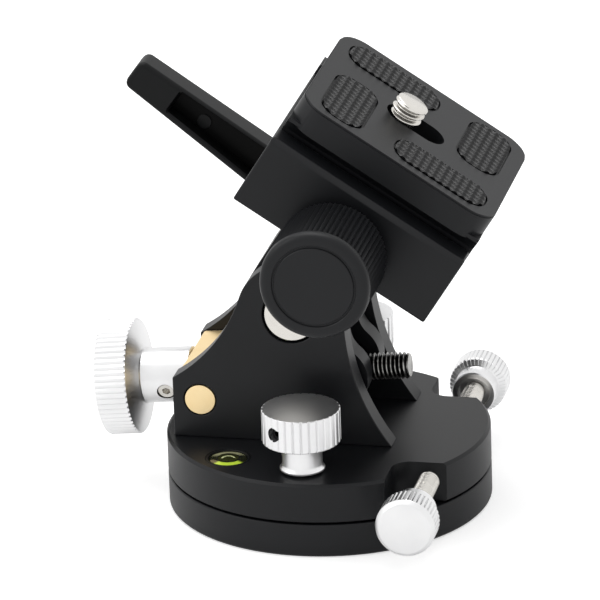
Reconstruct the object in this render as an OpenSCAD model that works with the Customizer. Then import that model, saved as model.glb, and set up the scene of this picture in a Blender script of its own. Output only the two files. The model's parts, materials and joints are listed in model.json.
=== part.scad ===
// Latitude adjustment base: a quick-release clamp on a tilting arm, carried by a fork
// on a turntable with fine azimuth screws.
// Origin at the centre of the underside, +Z up, +X towards the azimuth screws,
// -Y towards the clamp knob. Sizes in millimetres.

/* [Base and turntable] */
// Diameter of the base plate and of the turntable
base_d = 60; // [59:0.5:66]
// Thickness of the base plate
base_h = 6.4; // [6:0.1:8]
// Thickness of the turntable
table_h = 7.4; // [7.2:0.1:9]
// Gap between the base plate and the turntable
table_gap = 0.4; // [0.35:0.05:0.7]
// Chamfer on the rims
rim_chamfer = 0.5; // [0.2:0.1:0.8]
// Diameter of the hub that the turntable turns on
hub_d = 16; // [15.5:0.1:16.6]
// Lip of the retaining disc beyond the hub
disc_lip = 1.5; // [1:0.1:1.7]
// Thickness of the retaining disc
disc_t = 1.6; // [1.4:0.1:2]
// Tap diameter of the tripod thread
tripod_tap_d = 8; // [7.5:0.1:8.4]
// Depth of the tripod thread
tripod_depth = 8.5; // [6:0.5:9.5]

/* [Fork] */
// Position of the middle of the fork along Y
fork_y = 3.75; // [3:0.05:4.5]
// Clear width between the side plates
fork_gap = 18.5; // [18.3:0.1:19.5]
// Thickness of a side plate
side_t = 4.5; // [4:0.1:5]
// Left end of the side plates' foot
foot_left = -27; // [-28:0.1:-26.5]
// Right end of the side plates' foot
foot_right = 14; // [13:0.1:15]
// Height of the left shoulder
shoulder_z = 25.7; // [25.2:0.1:26.5]
// Radius of the side plates' round top
top_r = 10; // [9.4:0.1:10.6]
// Radius of the left sweep
left_sweep_r = 30.4; // [28:0.1:34]
// Radius of the right sweep
right_sweep_r = 41.3; // [36:0.1:48]

/* [Tilt] */
// Position of the tilt axle along X
pivot_x = -4.4; // [-5:0.1:-3.8]
// Height of the tilt axle
pivot_z = 39; // [38:0.1:40]
// Tilt of the head as drawn
tilt = 32.8; // [28:0.1:38]
// Diameter of the tilt axle
axle_d = 6; // [5:0.1:7]
// Diameter of the axle's head
axle_head_d = 9.9; // [9:0.1:10.5]
// Width of the tilt arm
arm_w = 15.4; // [15:0.1:15.8]
// Radius of the arm's hub
arm_hub_r = 10; // [9.6:0.1:10.1]
// Radius of the lobe that holds the barrel nut
lobe_r = 6.5; // [6.3:0.1:6.7]
// Radius of the hollows between the arm's hub and the lobe
waist_r = 5; // [4:0.1:6]
// Barrel nut's place on the arm, along the clamp
nut_along = 13.9; // [13.6:0.1:14.2]
// Barrel nut's place on the arm, below the axle
nut_below = 9; // [8.8:0.1:9.2]
// Diameter of the barrel nut
nut_d = 8.6; // [8.4:0.1:8.8]

/* [Altitude screw] */
// Position of the trunnion along X
trunnion_x = -21.9; // [-22.3:0.1:-21.5]
// Height of the trunnion
trunnion_z = 21.6; // [21.2:0.1:22]
// Length of the trunnion's block along the rod
block_l = 8.2; // [7.6:0.1:8.6]
// Height of the trunnion's block
block_h = 10; // [9:0.1:10.4]
// Diameter of the trunnion's journals
journal_d = 6; // [5:0.1:7]
// Diameter of the altitude rod
rod_d = 5; // [4.5:0.1:5.2]
// Reach of the rod beyond the trunnion
rod_reach = 37; // [35.5:0.5:40]
// Diameter of the altitude knob
alt_knob_d = 21.6; // [19:0.1:23]
// Width of the altitude knob's rim
alt_rim_w = 6.1; // [4.5:0.1:7]
// Diameter of the altitude knob's boss
alt_boss_d = 10.3; // [9.6:0.1:10.4]
// Length of the altitude knob's boss
alt_boss_l = 9.3; // [8.4:0.1:10.5]
// Play of the rod in the barrel nut, each way
nut_play = 0.95; // [0.9:0.05:1.1]

/* [Quick release] */
// Height of the clamp's underside above the axle
clamp_bottom = 17.6; // [17.2:0.1:17.8]
// Gap between the jaws' top and the camera plate's flange
jaw_gap = 2.5; // [2:0.1:2.8]
// Length of the clamp
clamp_l = 41; // [38:0.5:44]
// Width of a jaw outside the camera plate
jaw_out = 3.45; // [3.2:0.05:4.2]
// Height of the clamp screw above the axle
clamp_screw_z = 20.4; // [20:0.1:21]
// Diameter of the clamp screw
clamp_screw_d = 5; // [4:0.1:5.4]
// Diameter of the clamp knob
clamp_knob_d = 20; // [18:0.1:22]
// Length of the clamp knob
clamp_knob_l = 17.7; // [15:0.1:20]
// Height of the camera plate's top above the axle
plate_top = 39.7; // [39.4:0.1:41]
// Length of the camera plate
plate_l = 40.7; // [39:0.1:44]
// Width of the camera plate
plate_w = 39.2; // [38.6:0.1:40]
// Thickness of the camera plate's flange
flange_h = 5.3; // [5:0.1:5.6]
// Corner radius of the camera plate
plate_corner_r = 5; // [2:0.5:7]
// Width of the dovetail foot
foot_w = 38; // [37.6:0.1:38.4]
// Length of the slot for the camera screw
cam_slot_l = 12.2; // [11:0.1:14]
// Diameter of the camera screw
cam_screw_d = 6.35; // [6:0.05:6.5]
// Height of the camera screw above the plate
cam_screw_out = 3.4; // [3:0.1:6]
// Camera screw's place in its slot as drawn
cam_screw_at = -2.5; // [-2.6:0.1:2.6]
// Length of a rubber pad
pad_l = 19.5; // [16:0.1:20]
// Width of a rubber pad
pad_w = 9; // [6:0.1:9.4]
// Height of a rubber pad above the plate
pad_out = 0.3; // [0.1:0.05:0.6]

/* [Azimuth and locks] */
// Distance of the azimuth screws from the centre
az_x = 22; // [21.5:0.1:22.5]
// Post's place between the azimuth screws as drawn
az_offset = -1.1; // [-1.5:0.1:1.5]
// Diameter of the azimuth post
post_d = 6; // [5:0.1:6.6]
// Post's travel in its slot, each way
post_travel = 2.7; // [2:0.1:3]
// Distance of the notch flats from the centre line
notch_flat = 16.1; // [15.5:0.1:17]
// Distance of the notch walls from the centre
notch_wall = 15.7; // [15:0.1:16.2]
// Radius in the corner of a notch
notch_r = 3.5; // [1:0.1:3.8]
// Diameter of the azimuth and lock screws
screw_d = 4; // [3.5:0.1:4.4]
// Diameter of an azimuth knob
az_knob_d = 11; // [10:0.1:11.6]
// Length of an azimuth knob's head
az_knob_l = 6; // [5:0.1:7]
// Reach of an azimuth knob from the post
az_reach = 37.7; // [36.5:0.1:39]
// Diameter of a knob's neck
neck_d = 8.3; // [7.5:0.1:8.6]
// Length of an azimuth knob's neck
az_neck_l = 3.6; // [3:0.1:4.4]
// Length of a lock knob's neck
lock_neck_l = 5.6; // [4:0.1:6.5]
// Distance of the front lock knob from the centre
lock_front = 22.8; // [22:0.1:24]
// Distance of the back lock knob from the centre
lock_back = 25.4; // [25.2:0.05:25.6]
// Diameter of a lock knob
lock_knob_d = 14.4; // [12:0.1:14.8]
// Height of a lock knob's head
lock_knob_h = 6.3; // [5:0.1:8]
// Diameter of the bubble level
level_d = 8.4; // [7:0.1:9]
// Height of the bubble level's cup
level_h = 4.5; // [3:0.1:5.5]

/* [Lock lever] */
// Radius of the lever at its tip
lever_reach = 49.5; // [40:0.1:55]
// Angle of the lever above the -X direction as drawn
lever_angle = 36.5; // [20:0.1:50]
// Distance of the lever's arm from the middle of the fork
lever_out = 35.5; // [33:0.1:38]
// Depth of the lever's arm along the axle
lever_depth = 6; // [5:0.1:7]
// Height of the lever's arm at its tip
lever_tip_h = 6.2; // [4:0.1:7]
// Height of the lever's arm at its hub
lever_root_h = 10; // [8:0.1:11]
// Diameter of the lever's hub
lever_hub_d = 13; // [12.4:0.1:15]

/* [Hidden] */
$fn = 96;
over = 1;              // how far a cutting tool passes the face it cuts
run_fit = 0.05;        // radial clearance of a shaft in its bore
seat_fit = 0.02;       // radial clearance of a pressed or screwed seat
face_gap = 0.3;        // clearance between faces that move past each other
touch_gap = 0.06;      // clearance between faces that bear on each other
slide_gap = 0.1;       // clearance between flat faces that rub lightly
hole_spare = 0.3;      // spare depth of a blind hole past its screw or pin
fine_chamfer = 0.4;

// Heights of the base
table_bottom = base_h + table_gap;
table_top = table_bottom + table_h;
disc_sink = 0.6;
disc_drop = 0.2;       // step of the turntable's recess below the disc
hub_top = table_top - disc_sink - disc_t;
disc_d = hub_d + 2*disc_lip;
thrust_d = 35;
thrust_t = table_gap - slide_gap;
hub_screw_d = 2.5;
hub_screw_head_d = 4.4;
hub_screw_head_h = 1.1;
hub_screw_l = 5;
hub_screw_hex = 1.7;
hub_screw_hex_h = 0.8;
hub_screw_r = (tripod_tap_d + hub_d)/4;
hub_screw_n = 3;

// Side plates and their screws
side_screw_d = 3;
side_screw_head_d = 5.5;
side_screw_head_h = 3;
side_screw_l = 4.3;
side_screw_hex = 2.9;
side_screw_hex_h = 1.5;
side_screw_x = [-13, 9];
front_outer = fork_y - fork_gap/2 - side_t;
front_inner = fork_y - fork_gap/2;
back_inner = fork_y + fork_gap/2;
back_outer = fork_y + fork_gap/2 + side_t;
head_sink = 2.4;
head_ring = 0.35;      // ring gap round the axle's head
axle_head_h = 2.2;

// Tilt geometry
nut_x = pivot_x + nut_along*cos(tilt) - nut_below*sin(tilt);
nut_z = pivot_z - nut_along*sin(tilt) - nut_below*cos(tilt);
rod_rise = atan2(nut_z - trunnion_z, nut_x - trunnion_x);
rod_side_gap = 0.875;  // room beside the rod in the arm's slot
rod_slot_w = rod_d + 2*rod_side_gap;
lobe_back = 1;          // the lobe's centre lies this far from the nut's, towards the axle
nut_sink = 0.2;        // the barrel nut's ends lie this far inside the arm
washer_d = 16;
washer_t = (fork_gap - arm_w)/2 - face_gap;

// Altitude knob along the rod, measured from the trunnion
knob_skin = 1.5;       // metal left over the screw in a knob's head
block_play = 0.15;     // play of the boss and of the collar beside the trunnion
block_r = 0.7;
boss_start = -(block_l/2 + block_play);
boss_end = boss_start - alt_boss_l;
cone_l = 1.2;
rim_start = boss_end - cone_l;
rim_end = rim_start - alt_rim_w;
rod_start = rim_end + knob_skin + hole_spare;
alt_grub_d = 3;
alt_grub_in = 4.65;
alt_grub_at = boss_start - alt_grub_in;
alt_grub_turn = 20;
collar_d = 9;
collar_l = 3;
collar_at = block_l/2 + block_play;
alt_flutes = 60;
flute_depth = 0.35;
flute_step = 0.1;      // step from the root of the flutes in to a knob's chamfer

// Clamp, measured from the axle and from the middle of the fork
pedestal_w = 2*arm_hub_r;
pedestal_drop = 3;
pedestal_bottom = clamp_bottom - pedestal_drop;
plate_h = 10.4;
plate_bottom = plate_top - plate_h;
channel_floor = plate_bottom - face_gap;
foot_edge_h = 0.7;
dovetail_drop = 2.4;
neck_half = foot_w/2 - dovetail_drop;
flange_bottom = plate_top - flange_h;
jaw_top = flange_bottom - jaw_gap;
clamp_w = plate_w + 2*jaw_out;
jaw_fit = 0.25;
split_y = -12.5;
split_gap = 1.5;
jaw_lug_wall = 2.6;
jaw_lug_r = clamp_screw_d/2 + jaw_lug_wall;
guide_d = 4;
guide_x = 14;
guide_z = 23.8;
guide_in = 14;
guide_wall = 2;        // metal left in front of the jaw's guide bores
clamp_bolt_d = 4;
clamp_bolt_head_d = 7;
clamp_bolt_head_h = 4;
clamp_bolt_x = 5;
clamp_bolt_end = 7;
clamp_bolt_sink = 0.4;
clamp_bolt_hex = 3.4;
clamp_bolt_hex_h = 2;
clamp_bolt_seat = channel_floor - clamp_bolt_head_h - clamp_bolt_sink - clamp_bolt_end;
clamp_screw_in = 11;
knob_ring_d = 15;
knob_collar_d = 11;
knob_collar_l = 1.2;
clamp_knob_flutes = 64;
clip_t = 0.6;
circlip_w = 1.3;       // radial width of the circlip
knob_bore = 10;        // depth of the clamp screw in its knob
knob_edge = 0.5;       // chamfer round the clamp knob's face
knob_band = 1.3;       // plain band behind that chamfer
knob_band_out = 0.05;  // the band stands this far outside the flutes
knob_heel = 1;         // chamfer round the clamp knob's back
knob_ring_w = 0.5;
knob_ring_h = 0.3;
knob_back = -clamp_w/2 - face_gap - knob_collar_l;
knob_face = knob_back - clamp_knob_l;
circlip_y = split_y - split_gap + 2*slide_gap;

// Camera plate
plate_at = 0.35;
cam_slot_w = cam_screw_d + face_gap;
cam_head_d = 11;
cam_head_h = 2.8;
cam_recess_h = 4.3;
cam_recess_top = plate_bottom + cam_recess_h;
cam_neck_step = 0.75;
cam_neck_d = cam_screw_d - 2*cam_neck_step;
cam_slit_w = 1.4;
cam_slit_h = 1.2;
cam_thread_up = 0.3;    // the thread starts this far above the plate
pad_along = 8;
pad_across = 12.7;
pad_sink = 0.6;
pad_r = 3.8;
pad_fit = 0.1;

// Azimuth screws, locks and level
az_z = table_bottom + table_h/2;
post_top = az_z + screw_d/2 + fine_chamfer;
post_foot_d = post_d - 1;
post_room = 0.5;       // room beside the post in its slot, which the turning takes up in part
post_slot_half = post_d/2 + post_room;
tip_l = 2.4;
tip_start = post_d/2 + touch_gap;
az_screw_start = tip_start + tip_l + touch_gap;
az_knob_at = az_reach - az_knob_l - az_neck_l;
az_flutes = 40;
az_edge = 0.8;         // chamfers of an azimuth knob's head
neck_wall = 1.2;       // wall of an azimuth knob's neck round its counterbore
neck_bore_h = 1.2;
tip_slack = 0.2;       // a tip is this much thinner than its screw
lock_flutes = 30;
lock_edge = 0.2;       // chamfers of a lock knob's head
lock_seat = table_top + face_gap;
lock_tip_top = base_h + touch_gap + tip_l;
lock_stud_start = lock_tip_top + touch_gap;
lock_top = lock_seat + lock_neck_l + lock_knob_h;
lock_grub_z = lock_top - lock_knob_h/2;
grub_d = 2.6;
lock_grub_turn = -33;
grub_gap = 0.1;        // gap between a grub screw and the shaft under it
grub_sink = 0.8;
grub_hex_h = 1.2;
grub_hex_share = 0.55;
level_x = -14.8;
level_y = -18.9;
level_wall = 0.6;
level_floor = 0.8;
level_dome = 0.35;

// Lever
lever_washer_t = 1;
lever_seat = back_outer + lever_washer_t + 2*slide_gap;
lever_start = fork_y + lever_out - lever_depth/2;
lever_end = lever_start + lever_depth;
lever_core_wall = 1;
lever_core_rise = 0.3;  // the recess lies this far above the middle of the arm
lever_core_depth = 3.6;
lever_core_start = 12;
lever_solid_tip = 9.9;
lever_core_end = lever_reach - lever_solid_tip;
lever_tip_r = 1.5;     // radius of the corners at the lever's tip
lever_tip_share = 0.8;  // largest share of the half height that the radius takes
insert_d = 9.4;
insert_l = 17;
lever_screw_d = 4;
lever_screw_head_d = 7.4;
lever_screw_head_h = 1.6;
lever_screw_in = 6;
lever_screw_sink = 0.2;
lever_slit_w = 1;
lever_slit_h = 0.8;
axle_in_lever = 8;
axle_end = lever_seat + axle_in_lever;

// Finishes
black_anodised = "#26272a";
clear_anodised = "#d9dadb";
steel = "#b8b6b0";
black_oxide = "#2b2b2c";
brass = "#e3c58a";
rubber = "#1c1c1d";
black_plastic = "#17181a";
polymer = "#ecebe6";
level_green = "#a9c920";

// Frames

// The head's frame: X along the clamp, Z square to the plate, origin on the axle
module in_head() {
    translate([pivot_x, fork_y, pivot_z]) rotate([0, tilt, 0]) children();
}

// The rod's frame: Z along the rod towards its free end, origin on the trunnion
module on_rod() {
    translate([trunnion_x, fork_y, trunnion_z]) rotate([0, 90 - rod_rise, 0]) children();
}

// The lever's frame: X along the arm towards its tip, Y along the axle
module on_lever() {
    translate([pivot_x, 0, pivot_z]) rotate([0, 180 + lever_angle, 0]) children();
}

// The frame of a screw at the front (side -1) or the back (side 1): Z points outwards
module on_azimuth(side) {
    translate([az_x, az_offset, az_z]) rotate([-90*side, 0, 0]) children();
}

function lock_y(side) = side < 0 ? -lock_front : lock_back;

// Shapes that repeat

module bar_y(r, y0, y1) {
    translate([0, y1, 0]) rotate([90, 0, 0]) cylinder(r = r, h = y1 - y0);
}

module slab_y(y0, y1) {
    translate([0, y1, 0]) rotate([90, 0, 0]) linear_extrude(y1 - y0) children();
}

module slab_x(l) {
    rotate([90, 0, 90]) linear_extrude(l, center = true) children();
}

module rounded_rect(l, w, r) {
    square([l - 2*r, w], center = true);
    square([l, w - 2*r], center = true);
    for (x = [-1, 1], y = [-1, 1])
        translate([x*(l/2 - r), y*(w/2 - r)]) circle(r = r);
}

module slot_2d(l, w) {
    square([l - w, w], center = true);
    for (x = [-1, 1])
        translate([x*(l - w)/2, 0]) circle(d = w);
}

// Centre of a circle of radius r that touches two discs, at a and at b, from outside
function sweep_centre(a, ra, b, rb, r, side) =
    let (d = norm(b - a), u = (b - a)/d, h = ((ra + r)^2 - (rb + r)^2 + d^2)/(2*d))
    a + h*u + side*sqrt((ra + r)^2 - h^2)*[-u[1], u[0]];

module fluted_disc(d, h, flutes, depth) {
    linear_extrude(h)
        polygon([for (i = [0 : 2*flutes - 1])
            (d/2 - (i % 2)*depth)*[cos(180*i/flutes), sin(180*i/flutes)]]);
}

// A thumb knob standing on its neck, with a bore for its screw
module thumb_knob(d, h, neck, edge, flutes) {
    root_d = d - 2*flute_depth - 2*flute_step;
    difference() {
        union() {
            cylinder(d = neck_d, h = neck);
            translate([0, 0, neck]) {
                cylinder(d1 = root_d - 2*edge, d2 = root_d, h = edge);
                translate([0, 0, edge]) fluted_disc(d, h - 2*edge, flutes, flute_depth);
                translate([0, 0, h - edge]) cylinder(d1 = root_d, d2 = root_d - 2*edge, h = edge);
            }
        }
        translate([0, 0, -over]) cylinder(d = screw_d + 2*seat_fit, h = neck + h - knob_skin + over);
    }
}

// Base

module base_plate() {
    color(black_anodised)
    difference() {
        union() {
            rotate_extrude()
                polygon([
                    [0, 0], [base_d/2 - rim_chamfer, 0], [base_d/2, rim_chamfer],
                    [base_d/2, base_h - fine_chamfer/2], [base_d/2 - fine_chamfer/2, base_h], [0, base_h]
                ]);
            cylinder(d = hub_d, h = hub_top);
        }
        translate([0, 0, -over]) cylinder(d = tripod_tap_d, h = tripod_depth + over);
        hub_screw_places() translate([0, 0, -hub_screw_l])
            cylinder(d = hub_screw_d + 2*seat_fit, h = hub_screw_l + over);
        translate([az_x, az_offset, base_h/2]) cylinder(d = post_foot_d + 2*seat_fit, h = base_h);
    }
}

module hub_screw_places() {
    for (i = [0 : hub_screw_n - 1])
        rotate(90 + 360*i/hub_screw_n) translate([hub_screw_r, 0, hub_top]) children();
}

module thrust_washer() {
    color(polymer)
    translate([0, 0, base_h])
    difference() {
        cylinder(d = thrust_d, h = thrust_t);
        translate([0, 0, -over]) cylinder(d = hub_d + 2*face_gap, h = thrust_t + 2*over);
    }
}

module retaining_disc() {
    color(black_anodised)
    difference() {
        translate([0, 0, hub_top]) cylinder(d = disc_d, h = disc_t);
        hub_screw_places() {
            translate([0, 0, -over]) cylinder(d = hub_screw_d + 2*run_fit, h = disc_t + 2*over);
            translate([0, 0, disc_t - hub_screw_head_h])
                cylinder(d = hub_screw_head_d + 2*run_fit, h = hub_screw_head_h + over);
        }
    }
}

module retaining_screws() {
    color(steel)
    hub_screw_places()
    difference() {
        union() {
            translate([0, 0, hole_spare - hub_screw_l])
                cylinder(d = hub_screw_d, h = hub_screw_l + disc_t - hole_spare);
            translate([0, 0, disc_t - hub_screw_head_h])
                cylinder(d = hub_screw_head_d, h = hub_screw_head_h);
        }
        translate([0, 0, disc_t - hub_screw_hex_h])
            cylinder(d = hub_screw_hex, h = over + hub_screw_hex_h, $fn = 6);
    }
}

// A pin pressed into the base plate, between the two azimuth screws
module azimuth_post() {
    color(steel)
    translate([az_x, az_offset, 0]) {
        translate([0, 0, base_h/2]) cylinder(d = post_foot_d, h = base_h/2);
        translate([0, 0, base_h]) cylinder(d = post_d, h = post_top - base_h - fine_chamfer);
        translate([0, 0, post_top - fine_chamfer])
            cylinder(d1 = post_d, d2 = post_d - 2*fine_chamfer, h = fine_chamfer);
    }
}

// Turntable

module turntable_profile() {
    polygon([
        [0, table_bottom], [base_d/2 - fine_chamfer/2, table_bottom],
        [base_d/2, table_bottom + fine_chamfer/2], [base_d/2, table_top - rim_chamfer],
        [base_d/2 - rim_chamfer, table_top], [0, table_top]
    ]);
}

// The corner cut out for an azimuth screw, with a round inner corner
module notch_2d() {
    reach = base_d/2;
    difference() {
        translate([notch_wall, notch_flat]) square(reach);
        difference() {
            translate([notch_wall, notch_flat]) square(notch_r);
            translate([notch_wall + notch_r, notch_flat + notch_r]) circle(r = notch_r);
        }
    }
}

module side_screw_places() {
    for (x = side_screw_x, y = [front_outer + side_t/2, back_inner + side_t/2])
        translate([x, y, table_bottom]) children();
}

module turntable() {
    color(black_anodised)
    difference() {
        rotate_extrude() turntable_profile();
        translate([0, 0, table_bottom - over]) cylinder(d = hub_d + 2*run_fit, h = table_h + 2*over);
        translate([0, 0, hub_top - disc_drop]) cylinder(d = disc_d + 2*face_gap, h = table_h);
        for (side = [0, 1])
            mirror([0, side, 0])
                translate([0, 0, table_bottom - over]) linear_extrude(table_h + 2*over) notch_2d();
        translate([0, 0, table_bottom - over]) linear_extrude(post_top + face_gap - table_bottom + over)
            translate([az_x, 0]) rotate(90)
                slot_2d(2*(post_slot_half + post_travel), 2*post_slot_half);
        translate([az_x, 0, az_z]) bar_y(screw_d/2 + run_fit, -base_d/2, base_d/2);
        for (side = [-1, 1])
            translate([0, lock_y(side), table_bottom - over])
                cylinder(d = screw_d + 2*run_fit, h = table_h + 2*over);
        translate([level_x, level_y, table_top - level_h])
            cylinder(d = level_d + 2*seat_fit, h = level_h + over);
        side_screw_places() {
            translate([0, 0, -over]) cylinder(d = side_screw_d + 2*run_fit, h = table_h + 2*over);
            translate([0, 0, -over])
                cylinder(d = side_screw_head_d + 2*run_fit, h = side_screw_head_h + slide_gap + over);
        }
    }
}

module side_plate_screws() {
    color(steel)
    side_screw_places()
    difference() {
        union() {
            translate([0, 0, slide_gap]) cylinder(d = side_screw_head_d, h = side_screw_head_h);
            translate([0, 0, slide_gap])
                cylinder(d = side_screw_d, h = table_h + side_screw_l - slide_gap - hole_spare);
        }
        translate([0, 0, -over]) cylinder(d = side_screw_hex, h = over + side_screw_hex_h, $fn = 6);
    }
}

module side_outline() {
    axle = [pivot_x, pivot_z];
    left = sweep_centre(axle, top_r, [foot_left, shoulder_z], 0, left_sweep_r, -1);
    right = sweep_centre(axle, top_r, [foot_right, table_top], 0, right_sweep_r, 1);
    left_tangent = axle + top_r*(left - axle)/norm(left - axle);
    right_tangent = axle + top_r*(right - axle)/norm(right - axle);
    translate(axle) circle(r = top_r);
    difference() {
        polygon([
            [foot_left, table_top], [foot_right, table_top], right_tangent, axle,
            left_tangent, [foot_left, shoulder_z]
        ]);
        translate(left) circle(r = left_sweep_r);
        translate(right) circle(r = right_sweep_r);
    }
}

module side_plate(y0) {
    difference() {
        slab_y(y0, y0 + side_t) side_outline();
        translate([pivot_x, 0, pivot_z]) bar_y(axle_d/2 + run_fit, y0 - over, y0 + side_t + over);
        translate([trunnion_x, 0, trunnion_z]) bar_y(journal_d/2 + run_fit, y0 - over, y0 + side_t + over);
        side_screw_places() cylinder(d = side_screw_d + 2*seat_fit, h = table_h + side_screw_l);
    }
}

module front_side_plate() {
    color(black_anodised)
    difference() {
        side_plate(front_outer);
        translate([pivot_x, 0, pivot_z])
            bar_y(axle_head_d/2 + head_ring, front_outer - over, front_outer + head_sink);
    }
}

module back_side_plate() {
    color(black_anodised) side_plate(back_inner);
}

// Shoulder bolt through the fork and the arm, with its head sunk in the front plate
module tilt_axle() {
    color(steel)
    translate([pivot_x, 0, pivot_z]) {
        bar_y(axle_head_d/2, front_outer + head_sink - axle_head_h, front_outer + head_sink);
        bar_y(axle_d/2, front_outer + head_sink, axle_end);
    }
}

module washer_y(y0, t, d) {
    translate([pivot_x, 0, pivot_z])
    difference() {
        bar_y(d/2, y0, y0 + t);
        bar_y(axle_d/2 + run_fit, y0 - over, y0 + t + over);
    }
}

module friction_washers() {
    color(polymer) {
        washer_y(front_inner + slide_gap, washer_t, washer_d);
        washer_y(back_inner - slide_gap - washer_t, washer_t, washer_d);
    }
}

module lever_washer() {
    color(steel) washer_y(back_outer + slide_gap, lever_washer_t, lever_hub_d);
}

module level_cup() {
    color(black_plastic)
    translate([level_x, level_y, table_top - level_h])
    difference() {
        cylinder(d = level_d, h = level_h);
        translate([0, 0, level_floor]) cylinder(d = level_d - 2*level_wall, h = level_h);
    }
}

module level_vial() {
    vial_r = level_d/2 - level_wall - seat_fit;
    vial_h = level_h - level_floor - level_dome;
    dome_r = (vial_r^2 + level_dome^2)/(2*level_dome);
    color(level_green)
    translate([level_x, level_y, table_top - level_h + level_floor])
    intersection() {
        cylinder(r = vial_r, h = vial_h + level_dome);
        translate([0, 0, vial_h + level_dome - dome_r]) sphere(r = dome_r);
    }
}

// Altitude lock lever, on the back end of the tilt axle

module lever_arm_2d(inset) {
    root = lever_root_h/2 - inset;
    tip = lever_tip_h/2 - inset;
    r = min(lever_tip_r, lever_tip_share*tip);
    shoulder = lever_reach - r;
    polygon([[0, -root], [shoulder, -tip], [shoulder, tip], [0, root]]);
    translate([shoulder, 0]) square([2*r, 2*(tip - r)], center = true);
    for (side = [-1, 1]) translate([shoulder, side*(tip - r)]) circle(r = r);
}

module lever_handle() {
    color(black_plastic)
    difference() {
        on_lever() {
            bar_y(lever_hub_d/2, lever_seat + 2*slide_gap, lever_end);
            slab_y(lever_start, lever_end) lever_arm_2d(0);
        }
        on_lever() {
            bar_y(insert_d/2 + seat_fit, lever_seat - over, lever_seat + insert_l);
            bar_y(lever_screw_d/2 + run_fit, lever_seat, lever_end + over);
            bar_y(lever_screw_head_d/2 + face_gap, lever_end - lever_screw_head_h, lever_end + over);
            slab_y(lever_start - over, lever_start + lever_core_depth) intersection() {
                translate([0, -lever_core_rise]) lever_arm_2d(lever_core_wall);
                translate([lever_core_start, -lever_root_h])
                    square([lever_core_end - lever_core_start, 2*lever_root_h]);
            }
        }
    }
}

module lever_insert() {
    color(steel)
    on_lever()
    difference() {
        bar_y(insert_d/2, lever_seat, lever_seat + insert_l);
        bar_y(axle_d/2 + run_fit, lever_seat - over, axle_end + face_gap);
        bar_y(lever_screw_d/2 + seat_fit, lever_seat + insert_l - lever_screw_in,
              lever_seat + insert_l + over);
    }
}

module lever_screw() {
    color(steel)
    on_lever()
    difference() {
        union() {
            bar_y(lever_screw_d/2, lever_seat + insert_l - lever_screw_in + hole_spare,
                  lever_end - lever_screw_sink);
            bar_y(lever_screw_head_d/2, lever_end - lever_screw_head_h, lever_end - lever_screw_sink);
        }
        translate([0, lever_end - lever_screw_sink, 0])
            cube([lever_slit_w, 2*lever_slit_h, lever_screw_head_d + over], center = true);
    }
}

// Head: the tilt arm and the clamp

// One cheek of the arm: hub and lobe, with hollow sides between them
module cheek_2d() {
    axle = [0, 0];
    nut = [nut_along, -nut_below];
    lobe = nut*(1 - lobe_back/norm(nut));
    hollows = [for (side = [1, -1]) sweep_centre(axle, arm_hub_r, lobe, lobe_r, waist_r, side)];
    on_hub = [for (h = hollows) h*arm_hub_r/norm(h)];
    on_lobe = [for (h = hollows) lobe + (h - lobe)*lobe_r/norm(h - lobe)];
    circle(r = arm_hub_r);
    translate(lobe) circle(r = lobe_r);
    difference() {
        polygon([axle, on_hub[0], on_lobe[0], lobe, on_lobe[1], on_hub[1]]);
        for (h = hollows) translate(h) circle(r = waist_r);
    }
}

module tilt_arm() {
    cheek_t = (arm_w - rod_slot_w)/2;
    color(black_anodised)
    in_head()
    difference() {
        union() {
            slab_y(-arm_w/2, arm_w/2) {
                circle(r = arm_hub_r);
                translate([-pedestal_w/2, 0]) square([pedestal_w, pedestal_bottom]);
            }
            slab_y(-arm_w/2, cheek_t - arm_w/2) cheek_2d();
            slab_y(arm_w/2 - cheek_t, arm_w/2) cheek_2d();
        }
        bar_y(axle_d/2 + run_fit, -arm_w, arm_w);
        translate([nut_along, 0, -nut_below]) bar_y(nut_d/2 + run_fit, -arm_w, arm_w);
        clamp_bolt_places() cylinder(d = clamp_bolt_d + 2*seat_fit, h = channel_floor);
    }
}

module clamp_bolt_places() {
    for (x = [-1, 1]) translate([x*clamp_bolt_x, 0, clamp_bolt_end]) children();
}

// Inner side of a jaw: straight beside the foot, then leaning over it at 45 degrees
function jaw_inner(z) = foot_w/2 + jaw_fit - max(0, z - plate_bottom - foot_edge_h);

module jaw_lip_2d() {
    knee = plate_bottom + foot_edge_h;
    polygon([
        [jaw_inner(knee), channel_floor - over], [clamp_w/2, channel_floor - over],
        [clamp_w/2, jaw_top - 2*fine_chamfer], [clamp_w/2 - 2*fine_chamfer, jaw_top],
        [jaw_inner(jaw_top), jaw_top], [jaw_inner(knee), knee]
    ]);
}

module clamp_body() {
    color(black_anodised)
    in_head()
    difference() {
        union() {
            slab_x(clamp_l) {
                translate([split_y, clamp_bottom])
                    square([clamp_w/2 - split_y, channel_floor - clamp_bottom]);
                jaw_lip_2d();
            }
            translate([-pedestal_w/2, split_y, pedestal_bottom])
                cube([pedestal_w, arm_w/2 - split_y, clamp_bottom - pedestal_bottom + over]);
        }
        clamp_bolt_places() {
            cylinder(d = clamp_bolt_d + 2*run_fit, h = channel_floor);
            translate([0, 0, clamp_bolt_seat])
                cylinder(d = clamp_bolt_head_d + 2*run_fit, h = channel_floor);
        }
        translate([0, 0, clamp_screw_z]) {
            bar_y(clamp_screw_d/2 + run_fit, split_y - over, split_y + clamp_screw_in + face_gap);
            bar_y(clamp_screw_d/2 + circlip_w + face_gap, split_y - over, split_y + clip_t + face_gap);
        }
        for (x = [-1, 1])
            translate([x*guide_x, 0, guide_z])
                bar_y(guide_d/2 + seat_fit, split_y - over, split_y + guide_in);
    }
}

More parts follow.
